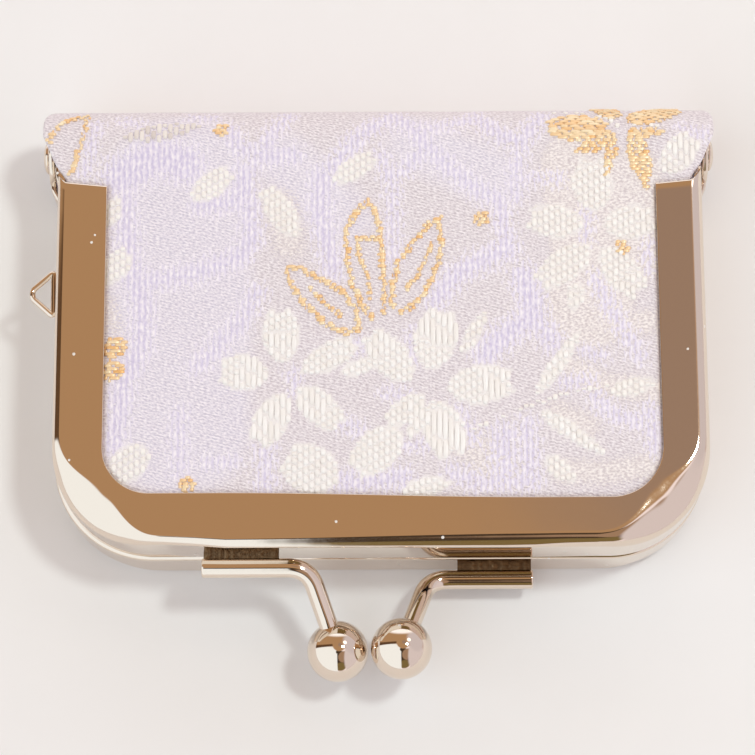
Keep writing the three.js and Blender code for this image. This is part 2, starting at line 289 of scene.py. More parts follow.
# Nickel plate on pressed steel: a bright, slightly warm mirror that wavers where the sheet was drawn,
# with hairline scratches and a few specks of dust.
nickelLook = dict(colour="#E7D9CA", roughness=0.05, wave=4.0, waveDepth=0.010, hairline=0.35,
                  wearRange=(0.35, 0.75), haze=0.025, speckSpacing=2.0, speckSize=0.30, speckShare=0.45,
                  dust="#EFE9E2", dustRough=0.6)


def makeNickel():
    n = nickelLook
    material, tree, shader = newMaterial("nickel plate, pressed and polished")
    place = addNode(tree, "TexCoord").outputs["Object"]
    wave = addNode(tree, "TexNoise", {"Vector": place, "Scale": 1 / (n["wave"] * mm), "Detail": 1.0})
    wear = addNode(tree, "TexNoise", {"Vector": place, "Scale": 1 / (n["hairline"] * mm), "Detail": 4.0})
    haze = addNode(tree, "MapRange", {
        "Value": wear.outputs["Fac"], "From Min": n["wearRange"][0], "From Max": n["wearRange"][1],
        "To Min": n["roughness"], "To Max": n["roughness"] + n["haze"]})
    spots = addNode(tree, "TexVoronoi", {"Vector": place, "Scale": 1 / (n["speckSpacing"] * mm)})
    radius = n["speckSize"] / n["speckSpacing"] / 2
    speck = addNode(tree, "Math", {0: spots.outputs["Distance"], 1: radius}, operation="LESS_THAN")
    pick = addNode(tree, "SeparateColor", {"Color": spots.outputs["Color"]})
    rare = addNode(tree, "Math", {0: pick.outputs[0], 1: n["speckShare"]}, operation="LESS_THAN")
    dust = addNode(tree, "Math", {0: speck.outputs[0], 1: rare.outputs[0]}, operation="MULTIPLY")
    tint = addNode(tree, "Mix", {0: dust.outputs[0], 6: linear(n["colour"]), 7: linear(n["dust"])},
                   data_type="RGBA")
    bare = addNode(tree, "Math", {0: 1.0, 1: dust.outputs[0]}, operation="SUBTRACT")
    dull = addNode(tree, "Math", {0: dust.outputs[0], 1: n["dustRough"], 2: haze.outputs["Result"]},
                   operation="MULTIPLY_ADD")
    bump = addNode(tree, "Bump", {"Height": wave.outputs["Fac"], "Distance": n["waveDepth"] * mm,
                                  "Strength": 1.0})
    setInputs(tree, shader, {"Base Color": tint.outputs[2], "Metallic": bare.outputs[0],
                             "Roughness": dull.outputs[0], "Normal": bump.outputs[0]})
    return material


nickel = makeNickel()


# Tin solder, flowed and lumpy where it ran. Its dark tone is painted shade of the narrow gap between bar and
# wall, and its lighter crests are painted highlights.
solderWithPaintedShadeLook = dict(colours=("#46362A", "#A48B6C"), lump=0.45, relief=0.05, roughness=0.3)


def makeSolder():
    look = solderWithPaintedShadeLook
    material, tree, shader = newMaterial("tin solder, flowed and tarnished")
    place = addNode(tree, "TexCoord").outputs["Object"]
    scale = 1 / (look["lump"] * mm)
    lumps = addNode(tree, "TexNoise", {"Vector": place, "Scale": scale, "Detail": 2.0}).outputs["Fac"]
    # dark tone: painted shade of the gap; light tone, on the lumps' crests: painted highlight
    dark, bright = look["colours"]
    tint = addNode(tree, "Mix", {0: lumps, 6: linear(dark), 7: linear(bright)}, data_type="RGBA")
    bump = addNode(tree, "Bump", {"Height": lumps, "Distance": look["relief"] * mm, "Strength": 1.0})
    setInputs(tree, shader, {"Base Color": tint.outputs[2], "Normal": bump.outputs[0], "Metallic": 1.0,
                             "Roughness": look["roughness"]})
    return material


solder = makeSolder()

# Frame half: pressed sheet swept round a U. Its edge rounding swells at the two corners, where the sheet was
# drawn. On the front half the right side has a narrower rim, a rounder edge and less lean.
frameLow, frameHigh = nodeBox("front_frame")
frameShape = dict(
    halfWidth=(frameHigh[0] - frameLow[0]) / 2, top=frameHigh[2] - hinge[2], reach=hinge[1] - frameLow[1],
    sheet=0.7, gap=0.15, partingRound=0.4, edgeRound=0.85, cornerRound=4.2, cornerRadius=9.8, swellLead=1.5,
    pucker=0.06, puckerWide=0.08, rimWidth=5.3, lipRound=0.08, endInner=4.95, endOuter=2.82, endSlope=0.1,
    endSweep=1.3, endCurve=1.6, endRound=0.25, endEase=0.45, wallInset=1.4, support=0.05,
    roundSteps=10, edgeSteps=30, flatSteps=8, cornerSteps=60, rightEdge=1.35, rightRim=4.75,
    rightUpright=0.75, handover=16, leanLow=0.8, leanCurve=1.4, uprightFar=20, uprightNear=15, bevelLead=6,
)


def rimEnd(inset):  # where the curved rim end lies, from the hinge axis, at each inset from the outer wall
    f = frameShape
    left = 1 - np.clip(inset / f["endSweep"], 0, 1)
    slant = f["endSlope"] * (f["rimWidth"] - np.clip(inset, 0, f["rimWidth"]))
    rise = f["endInner"] - f["endOuter"] - f["endSlope"] * f["rimWidth"]
    return -f["endInner"] + slant + rise * left ** f["endCurve"]


def leanShare(z):  # most of it at the parting edge already, full at the rim
    f = frameShape
    height = np.clip((z - f["gap"]) / (f["top"] - f["gap"]), 0, 1)
    return f["leanLow"] + (1 - f["leanLow"]) * height ** f["leanCurve"]


# outer and inner side of the sheet as (inset, height) rows, from the parting edge to the lip
def sheetChains(swell, lean, edgeRound, rim, bevel):
    f = frameShape
    top, sheet, tight = f["top"], f["sheet"], f["support"]
    share = np.linspace(0, 1, f["edgeSteps"])
    # slope over the edge in degrees: an even round, a sloping face at the corners, a bevel at the bottom
    tilt = 90 * (1 - share)
    drawn = np.interp(share, [0, 0.14, 0.30, 0.55, 0.78, 0.92, 1], [90, 50, 32, 20, 8, 2.5, 0])
    flat = np.interp(share, [0, 0.12, 0.25, 0.68, 0.85, 1], [90, 58, 45, 26, 14, 0])
    tilt = np.radians(tilt + swell * (drawn - tilt) + bevel * (flat - tilt))
    half = 0.5 * (tilt[1:] + tilt[:-1])
    edge = np.concatenate([[[0, 0]], np.cumsum(np.stack([np.cos(half), np.sin(half)], -1), 0)])
    edge *= (edgeRound + swell * (f["cornerRound"] - edgeRound)) / edge[-1, 0]
    across, drop = edge[-1]
    edge[:, 1] += top - drop
    turn = np.linspace(0, np.pi / 2, f["roundSteps"])
    low = f["gap"] + f["partingRound"]
    wallZ = np.array([low + tight, 0.5 * (low + top - drop), top - drop - tight])
    flatX = np.linspace(across + tight, rim - f["lipRound"] - tight, f["flatSteps"])
    r, lip = f["partingRound"], f["lipRound"]
    outer = np.concatenate([
        np.stack([r * (1 - np.sin(turn)), f["gap"] + r * (1 - np.cos(turn))], -1),
        np.stack([0 * wallZ, wallZ], -1),
        edge,
        np.stack([flatX, 0 * flatX + top], -1),
        np.stack([rim - lip + lip * np.sin(turn), top - lip + lip * np.cos(turn)], -1),
        [[rim, top - sheet]],
    ])
    share = np.linspace(0, 1, f["roundSteps"])
    inner = np.concatenate([
        np.stack([r + (sheet - r) * share, 0 * share + f["gap"]], -1),
        np.stack([0 * wallZ + sheet, wallZ], -1),
        edge + sheet * np.stack([np.sin(tilt), -np.cos(tilt)], -1),
        np.stack([flatX, 0 * flatX + top - sheet], -1),
        np.stack([rim - lip + 0.9 * lip * share, 0 * share + top - sheet], -1),
        [[rim - 0.05 * lip, top - sheet]],
    ])
    for chain in (outer, inner):  # the wall leans in, the lip stays
        chain[:, 0] += lean * leanShare(chain[:, 1]) * (1 - chain[:, 0] / rim)
    return outer, inner


def rightShare(x):  # none on the left side, full on the right, blended along the bottom
    return smoothStep(-frameShape["handover"], frameShape["handover"], x)


# sweep of the sheet: left side, left corner, bottom, right corner, right side
def framePoints(wallEnd, lean, skew):
    f = frameShape
    w, reach, radius, lead = f["halfWidth"], f["reach"], f["cornerRadius"], f["swellLead"]
    arc = radius * np.pi / 2
    cornerY = -reach + radius
    stations = []
    for back in (0, 0.15, 0.4, 0.7, 1.0):  # rounded free end
        stations.append(("end", back * f["endRound"]))
    for share in np.linspace(0.03, 1, 9):
        stations.append(("side", share))
    for s in np.linspace(-lead, 0, 6)[1:-1]:
        stations.append(("lead", s))
    for s in np.linspace(0, arc, f["cornerSteps"]):
        stations.append(("corner", s))
    for s in np.linspace(0, lead, 6)[1:]:
        stations.append(("tail", s))
    for share in np.linspace(0, 1, 8)[1:]:
        stations.append(("bottom", share))
    rows = []
    for hand, kind, value in [(-1, *v) for v in stations] + [(1, *v) for v in stations[-2::-1]]:
        along = {"tail": value, "bottom": lead + value * (w - radius - lead)}.get(kind, 0)
        right = skew * rightShare(hand * (w - radius - along))
        edgeRound = f["edgeRound"] + right * (f["rightEdge"] - f["edgeRound"])
        s = {"lead": value, "corner": value, "tail": arc + value}.get(kind, -lead)
        swell = math.sin(np.pi * np.clip((s + lead) / (arc + 2 * lead), 0, 1)) ** 2.0
        gathered = math.exp(-((s - arc / 2) / (f["puckerWide"] * arc)) ** 2)  # on the diagonal
        swell *= 1 - f["pucker"] * gathered
        upright = smoothStep(f["uprightFar"], f["uprightNear"], w - radius - along)  # behind the clasp
        slant = lean * (1 - f["rightUpright"] * right) * (1 - upright)
        rim = f["rimWidth"] + right * (f["rightRim"] - f["rimWidth"])
        bevel = skew * smoothStep(lead, lead + f["bevelLead"], along)
        outer, inner = sheetChains(swell, slant, edgeRound, rim, bevel)
        if kind == "end":
            bend = 1 - math.sqrt(1 - (1 - value / f["endRound"]) ** 2)
            outer = outer + f["endEase"] * bend * (inner - outer)
        loop = np.concatenate([outer, inner[::-1]])
        inset, z = loop.T
        end = rimEnd(inset)
        wall = (inset < f["wallInset"]) & (z < f["top"] - edgeRound)
        end = np.where(wall, wallEnd, end)
        stop = cornerY + lead
        if kind == "end":
            x, y = -(w - inset), end - value
        elif kind == "side":
            x, y = -(w - inset), end - f["endRound"] + value * (stop - end + f["endRound"])
        elif kind == "lead":
            x, y = -(w - inset), 0 * inset + cornerY - value
        elif kind == "corner":
            a = value / radius
            x = -(w - radius) - (radius - inset) * math.cos(a)
            y = cornerY - (radius - inset) * math.sin(a)
        else:
            x, y = 0 * inset - (w - radius) + along, -reach + inset
        rows.append(np.stack([-hand * x, y, z], -1))
    return rows


def frameSheet(name, wallEnd, lean, skew):
    rows = framePoints(wallEnd, lean, skew)
    count, cols = len(rows), len(rows[0])
    faces = gridFaces(count, cols, True)
    for start in (0, (count - 1) * cols):  # the two free ends
        for i in range(cols // 2 - 1):
            faces.append([start + i, start + i + 1, start + cols - 2 - i, start + cols - 1 - i])
    return makePiece(name, np.concatenate(rows), faces, [nickel])


# Hinge ears: flat tongues that run on from the wall, fall in a hollow curve and end in the rivet disc
earShape = dict(radius=2.8, root=9.0, stepStart=5.5, stepEnd=2.95, hollow=(-1.9, 3.2), landing=0.6 * np.pi,
                thick=0.62, round=0.26, discSteps=44)


def earPlate(name, side, step, lean, skew):
    e, f = earShape, frameShape
    right = skew * rightShare(f["handover"] * side)
    lean = lean * (1 - f["rightUpright"] * right)
    shoulder = f["top"] - f["edgeRound"] - right * (f["rightEdge"] - f["edgeRound"])
    t = np.linspace(0, 1, 40)
    land = e["radius"] * np.array([math.cos(e["landing"]), math.sin(e["landing"])])
    hollow = ((1 - t) ** 2)[:, None] * [-f["endOuter"], shoulder]
    hollow = hollow + (2 * t * (1 - t))[:, None] * e["hollow"] + (t ** 2)[:, None] * land
    disc = -e["radius"] * np.cos(np.linspace(0.02, np.pi - 0.02, e["discSteps"]))
    y = np.concatenate([np.linspace(-e["root"], -e["radius"] - 0.05, 24), disc])
    half = np.sqrt(np.maximum(e["radius"] ** 2 - y ** 2, 0))
    low = np.where(y < -e["radius"], f["gap"], np.minimum(-half, f["gap"]))
    high = np.where(y < -f["endOuter"], shoulder, np.where(y < land[0], np.interp(y, *hollow.T), half))
    joggle = step * smoothStep(-e["stepStart"], -e["stepEnd"], y)
    middle = f["halfWidth"] - f["sheet"] / 2 + joggle
    straight = 1 - smoothStep(-e["stepStart"], -e["stepEnd"], y)  # the disc stands upright
    ease = np.minimum(e["round"], 0.45 * (high - low))
    a = np.linspace(0, np.pi / 2, 4)
    rows = []
    for i in range(len(y)):
        r, thick = ease[i], e["thick"] / 2
        corner = np.stack([thick - r + r * np.cos(a), r * np.sin(a)], -1)
        right = np.stack([corner[:, 0], high[i] - r + corner[:, 1]], -1)
        left = np.stack([-corner[::-1, 0], high[i] - r + corner[::-1, 1]], -1)
        down = np.stack([-corner[:, 0], low[i] + r - corner[:, 1]], -1)
        back = np.stack([corner[::-1, 0], low[i] + r - corner[::-1, 1]], -1)
        ring = np.concatenate([right, left, down, back])
        out = middle[i] + ring[:, 0] - lean * leanShare(ring[:, 1]) * straight[i]
        rows.append(np.stack([side * out, 0 * out + y[i], ring[:, 1]], -1))
    cols = len(rows[0])
    last = (len(rows) - 1) * cols
    faces = gridFaces(len(rows), cols, True) + [list(range(cols)), list(range(last, last + cols))]
    return makePiece(name, np.concatenate(rows), faces, [nickel])


def placeHalf(piece, turnedOver):  # from the hinge's own frame into the part's
    turn = Matrix.Rotation(math.pi if turnedOver else 0, 4, "Y")
    piece.data.transform(Matrix.Translation(Vector(hinge) * mm) @ turn)


earStep = 1.05  # the back ears stand outside the front ones
halves = [  # body, turned over, step of the ears, end and lean of the wall, share of the right side's changes
    ("front_half", False, 0.0, -frameShape["endOuter"], 0.4, 1),
    ("back_half", True, earStep, -3.3, 0.0, 0),
]
for body, turnedOver, step, wallEnd, lean, skew in halves:
    node = body.replace("half", "frame")
    half = frameSheet(node + "_sheet", wallEnd, lean, skew)
    fuse(half, earPlate("ear", -1, step, lean, skew), earPlate("ear", 1, step, lean, skew))
    placeHalf(half, turnedOver)
    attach(half, body)
    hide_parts(node)
print("frame halves pressed")

# Rivets with a low outer dome and a flat inner tail
rivetShape = dict(dome=1.6, rise=0.55, shank=0.8, tail=1.4, tailRise=0.4, seat=0.15, brim=0.08, sides=48)


def rivet(name, side):
    r, f = rivetShape, frameShape
    outside = f["halfWidth"] + earStep + r["seat"]
    inside = f["halfWidth"] - f["sheet"] - r["seat"]
    a = np.linspace(0, np.pi / 2, 14)
    tail = [(0.001, inside - r["tailRise"]), (0.9 * r["tail"], inside - r["tailRise"]),
            (r["tail"], inside - 0.7 * r["tailRise"]), (r["tail"], inside), (r["shank"], inside),
            (r["shank"], outside), (0.96 * r["dome"], outside)]
    crown = r["rise"] - r["brim"]
    dome = [(max(r["dome"] * math.cos(t), 0.001), outside + r["brim"] + crown * math.sin(t)) for t in a]
    points, faces = turned(tail + dome, r["sides"])
    points = np.stack([side * points[:, 2], points[:, 0], points[:, 1]], -1) + hinge
    piece = makePiece(name, points, faces, [nickel])
    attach(piece, "back_half")
    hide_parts("left_rivet" if side < 0 else "right_rivet")


rivet("left_rivet_head", -1)
rivet("right_rivet_head", 1)
print("rivets set")

# Ball clasp: a bent round bar soldered along the wall, with a ball on its free end
claspShape = dict(arm=0.94, out=1.48, corner=5.85, ball=2.97, bend=2.0, middle=-1.1, footLow=0.72,
                  footHigh=0.3, footStart=0.12, footLong=7.4, seat=-0.2, cutRound=0.16, barSides=40,
                  ballRings=64, ballSides=96)


def clasp(name, node, body, side):  # side -1 starts from the left
    c = claspShape
    low, high = nodeBox(node)
    startX = low[0] if side < 0 else high[0]
    ballX = high[0] - c["ball"] if side < 0 else low[0] + c["ball"]
    armZ = high[2] - c["arm"] if side < 0 else low[2] + c["arm"]
    ballZ = low[2] + c["ball"] if side < 0 else high[2] - c["ball"]
    wallY = hinge[1] - frameShape["reach"]
    armY = wallY - c["out"]
    middle = hinge[0] + c["middle"]
    start = np.array([startX, armY, armZ])
    corner = np.array([middle + side * c["corner"], armY, armZ])
    ball = np.array([ballX, low[1] + c["ball"], ballZ])
    along = (corner - start) / np.linalg.norm(corner - start)
    outwards = (ball - corner) / np.linalg.norm(ball - corner)
    bendIn, bendOut = corner - c["bend"] * along, corner + c["bend"] * outwards
    t = np.linspace(0, 1, 24)[:, None]
    bend = (1 - t) ** 2 * bendIn + 2 * t * (1 - t) * corner + t ** 2 * bendOut
    ease = [start + along * d for d in np.array([0, 0.1, 0.3, 0.6, 1.0, 1.3]) * c["cutRound"]]
    path = np.concatenate([ease, [start + (bendIn - start) * k for k in (0.3, 0.6, 0.9)], bend,
                           [bendOut + (ball - bendOut) * k for k in (0.3, 0.6, 0.9)]])
    bar = makePiece(name, *tube(path, c["arm"], c["barSides"], rounding=c["cutRound"]), [nickel])
    a = np.linspace(-np.pi / 2, np.pi / 2, c["ballRings"])
    profile = [(max(c["ball"] * math.cos(v), 0.001), c["ball"] * math.sin(v)) for v in a]
    points, faces = turned(profile, c["ballSides"])
    sphere = makePiece("ball", points + ball, faces, [nickel])
    seatY = wallY - c["seat"]
    footX = np.array([c["footStart"], c["footLong"]]) * -side + startX
    z1 = armZ - c["footLow"]
    z0 = z1 - c["footHigh"]
    rows = []
    for y in (armY, seatY):  # solder bed between the bar and the wall, below the bar's crown
        rows.append([(footX[0], y, z0), (footX[1], y, z0), (footX[1], y, z1), (footX[0], y, z1)])
    faces = gridFaces(len(rows), 4, True) + [[0, 1, 2, 3], [4, 5, 6, 7]]
    # the bed's dark colour is painted shade of the gap between bar and wall, with painted highlights on its
    # crests
    foot = makePiece("foot", np.array(rows), faces, [solder])
    fuse(bar, sphere, foot)
    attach(bar, body)
    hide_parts(node)


clasp("front_clasp_arm", "front_clasp", "front_half", -1)
clasp("back_clasp_arm", "back_clasp", "back_half", 1)
print("ball clasp bent")

# Strap loop: one wire bent to a flat-tipped triangle and soldered to the left wall
loopShape = dict(seat=0.3, base=4.6, tip=0.8, bend=0.45, bendSteps=6, sides=16)


def strapLoop():
    s = loopShape
    low, high = nodeBox("strap_loop")
    wire = (high[2] - low[2]) / 2
    x0, x1 = high[0] - wire + s["seat"], low[0] + wire
    y, z = (low[1] + high[1]) / 2, (low[2] + high[2]) / 2
    corners = ((x0, s["base"] / 2), (x1, s["tip"] / 2), (x1, -s["tip"] / 2), (x0, -s["base"] / 2))
    knees = [np.array([x, y + out, z]) for x, out in corners]
    path = []
    for i, knee in enumerate(knees):
        before, after = knees[i - 1], knees[(i + 1) % 4]
        reach = min(s["bend"], 0.45 * np.linalg.norm(before - knee), 0.45 * np.linalg.norm(after - knee))
        enter = knee + reach * (before - knee) / np.linalg.norm(before - knee)
        leave = knee + reach * (after - knee) / np.linalg.norm(after - knee)
        for t in np.linspace(0, 1, s["bendSteps"]):
            path.append((1 - t) ** 2 * enter + 2 * t * (1 - t) * knee + t ** 2 * leave)
    piece = makePiece("strap_loop_wire", *tube(path, wire, s["sides"], closed=True), [nickel])
    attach(piece, "front_half")
    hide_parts("strap_loop")


strapLoop()
print("strap loop bent")

# Brocade: one sheet from the front window over the hinge side to the back window.
# A place on it is (x, s): s is the part's own y on the front and runs on along the cloth, in millimetres.
spineLow, spineHigh = nodeBox("spine_cloth")
clothShape = dict(
    thick=0.6, rollRound=4.4, rollBack=0.4, tuck=0.5, fieldRise=0.05, pillow=0.10, ripple=0.03, inset=1.4,
    rimEase=(-0.15, 0.25), pillowReach=7, rippleReach=(0.5, 3), hingeSpread=4.3,
    fullWidth=33.25, farCorner=1.6, across=200, along=236, inside=48, hem=5, crease=60,
    hoodY=(-4.9, -4.1, -3.6, -2.9, -2.2, -1.2, -0.2, 0.4, 1.0),  # slanting side edges over the hinge:
    hoodWidth=(30.6, 30.9, 31.2, 31.75, 32.1, 32.5, 33.0, 33.2, 33.25),  # half widths at places from it
)
rollStart = spineHigh[1] - clothShape["rollBack"] - clothShape["rollRound"]
rollArc = clothShape["rollRound"] * np.pi / 2
rollFace = spineHigh[2] - spineLow[2] - 2 * clothShape["rollRound"]
clothTurn = 2 * rollStart + 2 * rollArc + rollFace  # s on the back is this less the part's y
clothStart = frameLow[1] + clothShape["inset"]
clothEnd = clothTurn - clothStart


def clothProfile(s):  # y, z and outward normal of the sheet's outer face along s
    r = clothShape["rollRound"]
    mid = 0.5 * (spineLow[2] + spineHigh[2])
    p = np.where(s > clothTurn / 2, clothTurn - s, s)  # the back is the front turned over
    side = np.where(s > clothTurn / 2, -1.0, 1.0)
    a = np.clip((p - rollStart) / r, 0, np.pi / 2)
    past = np.maximum(p - rollStart - rollArc, 0)
    y = np.where(p < rollStart, p, rollStart + r * np.sin(a))
    z = spineHigh[2] - r + r * np.cos(a) - past
    return y, mid + side * (z - mid), np.sin(a), side * np.cos(a)


def openRoom(x, y, front):  # how far a place lies clear of the rims, in plan, negative under them
    f = frameShape
    px, py = np.abs(x - hinge[0]), y - hinge[1]
    rim = f["rimWidth"] + front * rightShare(x - hinge[0]) * (f["rightRim"] - f["rimWidth"])
    r = f["cornerRadius"] - rim
    qx = px - (f["halfWidth"] - rim - r)
    qy = -f["reach"] + rim + r - py
    window = r - np.hypot(np.maximum(qx, 0), np.maximum(qy, 0)) - np.minimum(np.maximum(qx, qy), 0)
    return np.maximum(window, py - rimEnd(np.maximum(f["halfWidth"] - px, 0)))


def onCloth(x, s, lift):  # points on the sheet, lifted off its outer face
    c = clothShape
    y, z, ny, nz = clothProfile(s)
    room = openRoom(x, y, s < clothTurn / 2)
    height = -c["tuck"] + (c["tuck"] + c["fieldRise"]) * smoothStep(*c["rimEase"], room)
    height = height + c["pillow"] * smoothStep(0, c["pillowReach"], room)
    # long ripples that cross and wander
    wave = np.sin(0.55 * x + 0.9 * np.sin(0.31 * s)) * np.sin(0.43 * s + 0.7 * np.sin(0.23 * x))
    height = height + c["ripple"] * wave * smoothStep(*c["rippleReach"], room) + lift
    return np.stack([x, y + height * ny, z + height * nz], -1)


def clothHalfWidth(s):
    c, f = clothShape, frameShape
    y = clothProfile(s)[0] - hinge[1]
    r = f["cornerRadius"] - c["inset"]
    tucked = f["halfWidth"] - c["inset"]
    sunk = np.clip(-f["reach"] + f["cornerRadius"] - y, 0, r)
    width = tucked - r + np.sqrt(r * r - sunk * sunk)
    width = np.maximum(width, np.where(y > c["hoodY"][0], np.interp(y, c["hoodY"], c["hoodWidth"]), 0))
    far = np.clip(y - (spineHigh[1] - c["rollBack"] - hinge[1] - c["farCorner"]), 0, c["farCorner"])
    return width - c["farCorner"] + np.sqrt(c["farCorner"] ** 2 - far * far)


# Chart of the weave, drawn in millimetres on the cloth. Petals and leaves by kind of thread: base,
# tip, width, notch at the tip, length of one float, share beaded, from the base or, if negative, from the tip
petalGroups = [
    ("white", [
        (-8.9, 1.4, -9.3, 6.9, 3.6, 0.5, 1.7, -0.42), (-10.3, 0.2, -15.2, 0.7, 3.6, 0.5, 1.6, -0.35),
        (-8.7, -1.7, -11.4, -6.8, 3.3, 0.5, 2.0, 0.0), (-7.6, -1.0, -3.4, -5.0, 3.2, 0.5, 1.8, -0.35),
        (-7.2, 0.5, -1.9, 3.5, 2.8, 0.4, 0.9, 0.60), (5.2, 0.6, 6.5, 6.9, 4.1, 0.6, 2.8, 0.40),
        (6.9, -1.2, 13.4, -0.5, 3.9, 0.6, 2.8, 0.50), (5.6, -2.3, 7.5, -8.1, 3.9, 0.6, 3.0, 0.15),
        (4.9, -2.0, 1.0, -4.6, 2.4, 0.3, 1.2, -0.45), (3.5, -0.5, -0.6, 4.4, 3.5, 0.5, 1.4, 0.55),
        (4.6, -3.2, 3.2, -6.2, 1.5, 0.0, 1.6, 0.0), (2.5, -5.2, -2.1, -9.3, 3.9, 0.4, 1.0, 0.85),
        (-3.6, -10.4, -8.8, -8.0, 4.8, 0.4, 1.0, 0.85), (2.4, -11.6, 7.4, -10.3, 2.0, 0.0, 0.8, 0.50),
        (-3.3, 0.4, 0.4, 1.6, 1.6, 0.0, 0.8, 1.1),
    ]),
    ("ivory", [
        (21.6, 16.6, 21.4, 22.3, 4.0, 0.5, 0.9, 0.85), (20.6, 15.2, 14.9, 16.1, 3.5, 0.5, 0.9, 0.80),
        (22.4, 15.0, 27.6, 16.0, 3.5, 0.5, 1.3, 0.70), (21.2, 13.2, 16.0, 9.2, 3.3, 0.5, 1.3, 0.85),
        (22.2, 13.0, 25.9, 8.2, 3.5, 0.5, 1.0, 0.60), (19.9, 9.4, 19.2, 6.5, 2.0, 0.0, 0.9, 0.30),
        (-7.5, 14.0, -10.8, 19.3, 2.7, 0.3, 0.7, 1.1), (-17.9, 18.0, -14.2, 21.0, 2.6, 0.3, 0.7, 1.1),
        (-4.1, 19.8, 0.0, 22.5, 2.3, 0.3, 0.7, 1.1), (-26.6, 15.2, -25.2, 18.5, 2.0, 0.0, 0.7, 1.1),
        (-26.6, 9.4, -24.1, 12.9, 2.6, 0.3, 0.6, 1.1), (-22.1, -6.7, -25.2, -10.1, 3.4, 0.4, 0.7, 1.1),
    ]),
    ("taupe", [
        (-24.9, 24.4, -16.9, 25.9, 2.1, 0.0, 1.3, 0.0),
    ]),
    ("white", [
        (15.6, -1.8, 20.0, 4.6, 1.6, 0.0, 1.0, 0.0), (15.9, -3.5, 22.3, -7.9, 1.7, 0.0, 1.0, 0.0),
    ]),
    ("ivory", [
        (22.6, -1.7, 27.4, -0.5, 1.9, 0.0, 0.6, 0.6), (16.4, -8.0, 19.2, -10.5, 2.1, 0.0, 0.6, 1.1),
        (8.4, 2.2, 10.9, 6.7, 1.5, 0.0, 0.7, 1.1), (28.4, 20.6, 31.6, 24.4, 3.2, 0.3, 1.6, 0.4),
    ]),
    ("gold", [
        (23.3, 25.7, 17.0, 25.4, 3.2, 0.3, 1.2, 0.0), (24.4, 26.7, 22.0, 29.8, 2.7, 0.3, 1.2, 0.0),
        (24.9, 26.2, 30.6, 28.6, 3.0, 0.3, 1.2, 0.0), (24.0, 24.7, 19.6, 22.7, 1.9, 0.0, 0.9, 0.0),
        (23.7, 24.5, 22.7, 20.0, 1.5, 0.0, 0.9, 0.0), (25.5, 25.5, 26.9, 18.6, 2.4, 0.0, 1.1, 0.0),
        (25.0, 24.5, 28.9, 24.9, 1.2, 0.0, 0.9, 0.0), (-26.8, 2.6, -23.7, 3.5, 2.1, 0.0, 1.3, 0.0),
        (-26.8, 0.6, -24.1, 0.9, 2.2, 0.0, 1.3, 0.0), (9.4, 15.8, 11.4, 16.2, 1.6, 0.2, 0.7, 0.0),
        (-16.0, 25.2, -14.2, 25.4, 1.6, 0.2, 0.7, 0.0), (-19.1, -10.8, -17.1, -10.6, 1.7, 0.2, 0.7, 0.0),
        (23.4, 13.4, 25.3, 12.5, 1.5, 0.0, 0.7, 0.0),
    ]),
]
petals = [(kind, *row) for kind, rows in petalGroups for row in rows]
# Lines: width, kind of thread, points on the way
lines = [
    (0.74, "gold", [(0.9, 6.6), (0.7, 11.5), (0.55, 14.4), (0.1, 16.6), (-0.75, 17.7), (-1.9, 16.6),
                    (-2.65, 14.8), (-2.7, 12.0), (-2.3, 9.6), (-1.4, 7.4), (-0.3, 6.0)]),
    (0.62, "gold", [(0.3, 14.1), (-1.7, 13.9), (-1.5, 12.0), (-0.8, 10.4), (-0.4, 7.8)]),
    (0.74, "gold", [(1.7, 7.0), (1.7, 9.4), (2.3, 11.4), (3.8, 13.7), (5.3, 15.4), (6.4, 16.0), (6.5, 14.0),
                    (6.2, 11.6), (5.4, 9.4), (4.0, 7.4), (2.5, 6.3)]),
    (0.62, "gold", [(5.5, 13.4), (4.9, 11.7), (4.1, 10.0), (3.2, 8.9)]),
    (0.74, "gold", [(-1.5, 4.9), (-2.6, 4.4), (-4.6, 5.2), (-6.6, 7.0), (-8.0, 8.9), (-8.6, 11.0),
                    (-7.4, 11.0), (-5.2, 9.8), (-3.2, 8.6), (-2.0, 6.9), (-1.5, 5.2)]),
    (0.62, "gold", [(-6.3, 8.9), (-5.1, 7.6), (-3.4, 6.2)]),
    (0.74, "gold", [(-32.1, 24.2), (-31.5, 25.7), (-30.1, 26.8), (-28.6, 27.5), (-28.6, 25.4), (-29.1, 23.4),
                    (-30.1, 20.7)]),
    (0.50, "ivory", [(9.6, -5.2), (12.5, -3.9), (15.0, -2.9), (18.0, -1.9), (21.0, -1.2), (25.0, -0.6)]),
    (0.45, "ivory", [(17.6, 27.6), (21.2, 27.6), (23.4, 26.6), (24.4, 25.2)]),
    (0.45, "ivory", [(25.2, 25.6), (27.6, 25.7), (29.4, 25.0)]),
]
